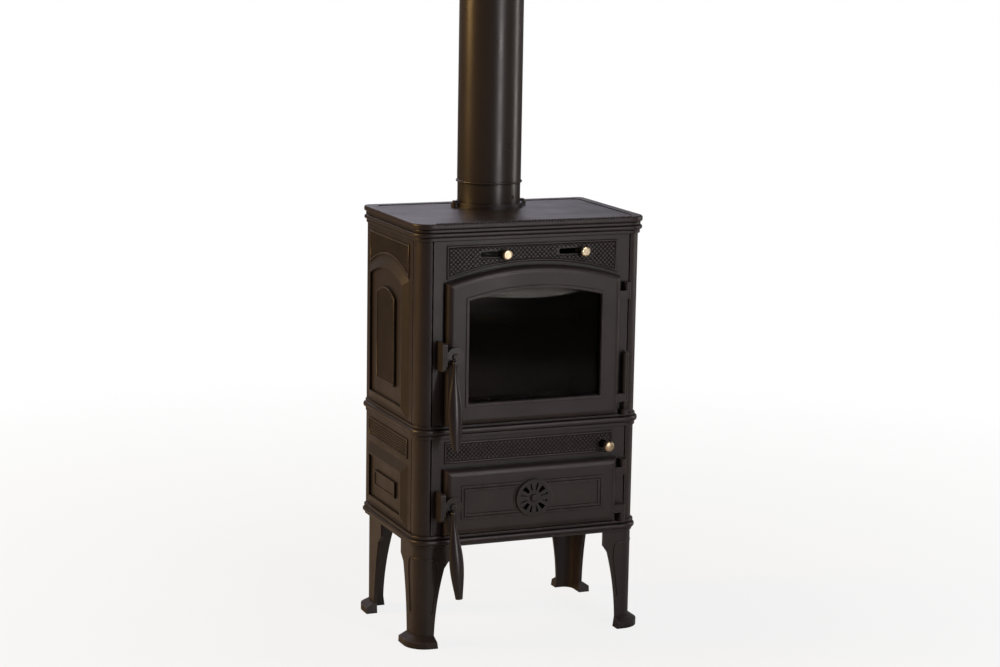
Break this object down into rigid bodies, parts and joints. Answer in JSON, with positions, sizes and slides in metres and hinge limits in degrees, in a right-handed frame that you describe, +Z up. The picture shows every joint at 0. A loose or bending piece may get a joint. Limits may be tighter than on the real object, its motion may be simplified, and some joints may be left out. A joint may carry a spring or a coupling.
{
  "type": "wood stove",
  "caption": "Upright cast iron wood stove on four legs, with a glazed arched fire door, an ash door with an air rosette, sliding air shutters, a riddling rod and a top flue pipe.",
  "frame": {"origin": "on the floor, under the middle of the overall width and depth", "axes": "+X to the right seen from the front, +Y to the back, +Z up"},
  "size_m": [0.52, 0.4, 1.4],
  "materials": {
    "cast_iron": "matt stove black",
    "dark_steel": "oxidised",
    "pan_steel": "plain sheet",
    "flue_steel": "satin dark brown black",
    "firebrick": "matt",
    "glass": "clear ceramic glass, dark firebox behind",
    "seal_rope": "glass fibre rope",
    "knob_metal": "pale polished"
  },
  "bodies": {
    "stove": {"base_frame": "cast_iron", "mid_frame": "cast_iron", "cornice_frame": "cast_iron", "top_plate": "cast_iron", "upper_front_frame": "cast_iron", "lower_front_frame": "cast_iron", "upper_left_side": "cast_iron", "upper_right_side": "cast_iron", "lower_left_side": "cast_iron", "lower_right_side": "cast_iron", "upper_back_panel": "cast_iron", "lower_back_panel": "cast_iron", "upper_left_post": "cast_iron", "upper_right_post": "cast_iron", "lower_left_post": "cast_iron", "lower_right_post": "cast_iron", "front_left_leg": "cast_iron", "front_right_leg": "cast_iron", "rear_left_leg": "cast_iron", "rear_right_leg": "cast_iron", "leg_bolts": "dark_steel", "tie_rods": "dark_steel", "flue_collar": "cast_iron", "flue_collar_bolts": "dark_steel", "flue_adapter": "flue_steel", "flue_pipe": "flue_steel", "left_liner": "firebrick", "right_liner": "firebrick", "rear_liner": "firebrick", "baffle_plate": "cast_iron", "log_retainer": "cast_iron", "fire_grate": "cast_iron", "shutter_guide": "dark_steel", "fire_door_keeper": "cast_iron", "ash_door_keeper": "cast_iron", "keeper_screws": "dark_steel", "fire_door_upper_pin": "dark_steel", "fire_door_lower_pin": "dark_steel", "ash_door_pins": "dark_steel"},
    "fire_door": {"fire_door": "cast_iron", "fire_door_rope": "seal_rope", "door_glass": "glass", "glass_gasket": "seal_rope", "glass_clips": "dark_steel", "glass_clip_screws": "dark_steel", "air_deflector": "dark_steel", "fire_door_latch_bolt": "dark_steel"},
    "fire_door_handle": {"fire_door_handle": "cast_iron"},
    "ash_door": {"ash_door": "cast_iron", "ash_door_rope": "seal_rope", "ash_door_latch_bolt": "dark_steel", "rosette_bolt": "dark_steel"},
    "ash_door_handle": {"ash_door_handle": "cast_iron"},
    "air_rosette": {"air_rosette": "cast_iron"},
    "left_air_shutter": {"left_air_shutter": "dark_steel", "left_air_knob": "knob_metal"},
    "right_air_shutter": {"right_air_shutter": "dark_steel", "right_air_knob": "knob_metal"},
    "riddling_gear": {"riddling_gear": "cast_iron"},
    "ash_pan": {"ash_pan": "pan_steel"}
  },
  "joints": [
    {"name": "fire_door_swing", "type": "hinge", "parent": "stove", "child": "fire_door", "pos_m": [0.2065, -0.139, 0.64], "axis": [0, 0, 1], "range_deg": [0, 110]},
    {"name": "fire_door_handle_turn", "type": "hinge", "parent": "fire_door", "child": "fire_door_handle", "pos_m": [-0.176, -0.1535, 0.606], "axis": [0, 1, 0], "range_deg": [0, 60]},
    {"name": "ash_door_swing", "type": "hinge", "parent": "stove", "child": "ash_door", "pos_m": [0.2065, -0.139, 0.303], "axis": [0, 0, 1], "range_deg": [0, 110]},
    {"name": "ash_door_handle_turn", "type": "hinge", "parent": "ash_door", "child": "ash_door_handle", "pos_m": [-0.176, -0.1535, 0.298], "axis": [0, 1, 0], "range_deg": [0, 60]},
    {"name": "air_rosette_turn", "type": "hinge", "parent": "ash_door", "child": "air_rosette", "pos_m": [0, -0.1545, 0.303], "axis": [0, 1, 0], "range_deg": [0, 45]},
    {"name": "left_air_shutter_slide", "type": "slide", "parent": "stove", "child": "left_air_shutter", "axis": [-1, 0, 0], "range_m": [0, 0.046]},
    {"name": "right_air_shutter_slide", "type": "slide", "parent": "stove", "child": "right_air_shutter", "axis": [-1, 0, 0], "range_m": [0, 0.046]},
    {"name": "riddling_gear_slide", "type": "slide", "parent": "stove", "child": "riddling_gear", "axis": [0, -1, 0], "range_m": [0, 0.045]},
    {"name": "ash_pan_slide", "type": "slide", "parent": "stove", "child": "ash_pan", "axis": [0, -1, 0], "range_m": [0, 0.1925]}
  ],
  "couplings": [
    {"joint": "ash_pan_slide", "follows": "ash_door_swing", "m_per_rad": 0.1}
  ]
}
